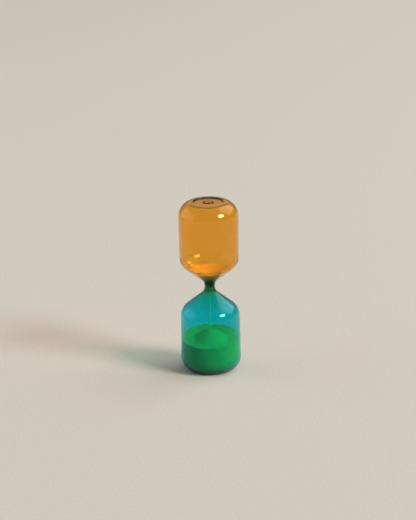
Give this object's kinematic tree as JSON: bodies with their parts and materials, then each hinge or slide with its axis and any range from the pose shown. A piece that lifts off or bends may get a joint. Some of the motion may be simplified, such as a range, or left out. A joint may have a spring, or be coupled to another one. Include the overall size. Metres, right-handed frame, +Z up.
{
  "type": "sand timer",
  "caption": "Free-standing sand timer: an amber and a blue glass bulb fused at a narrow waist, with yellow sand running down through it.",
  "frame": {"origin": "centre of the flat ring of the lower bulb that the timer stands on", "axes": "+Z up along the axis of the glass, from the lower bulb to the upper bulb; +X and +Y are any two level directions, as the glass is round"},
  "size_m": [0.06, 0.06, 0.174],
  "materials": {
    "amber_glass": "polished",
    "green_glass": "polished",
    "blue_glass": "polished",
    "sand": "matte"
  },
  "bodies": {
    "glass": {"upper_bulb": "amber_glass", "fill_hole_seal": "amber_glass", "fused_waist": "green_glass", "lower_bulb": "blue_glass"},
    "upper_sand": {"upper_sand": "sand", "sand_stream": "sand"},
    "lower_sand": {"lower_sand": "sand"}
  },
  "joints": [
    {"name": "lower_sand_level", "type": "slide", "parent": "glass", "child": "lower_sand", "axis": [0, 0, 1], "range_m": [0, 0.00112], "deforming": ["lower_sand"]},
    {"name": "upper_sand_level", "type": "slide", "parent": "glass", "child": "upper_sand", "axis": [0, 0, -1], "range_m": [0, 0.0135], "deforming": ["upper_sand"]}
  ],
  "couplings": [
    {"joint": "upper_sand_level", "follows": "lower_sand_level", "ratio": 12}
  ]
}
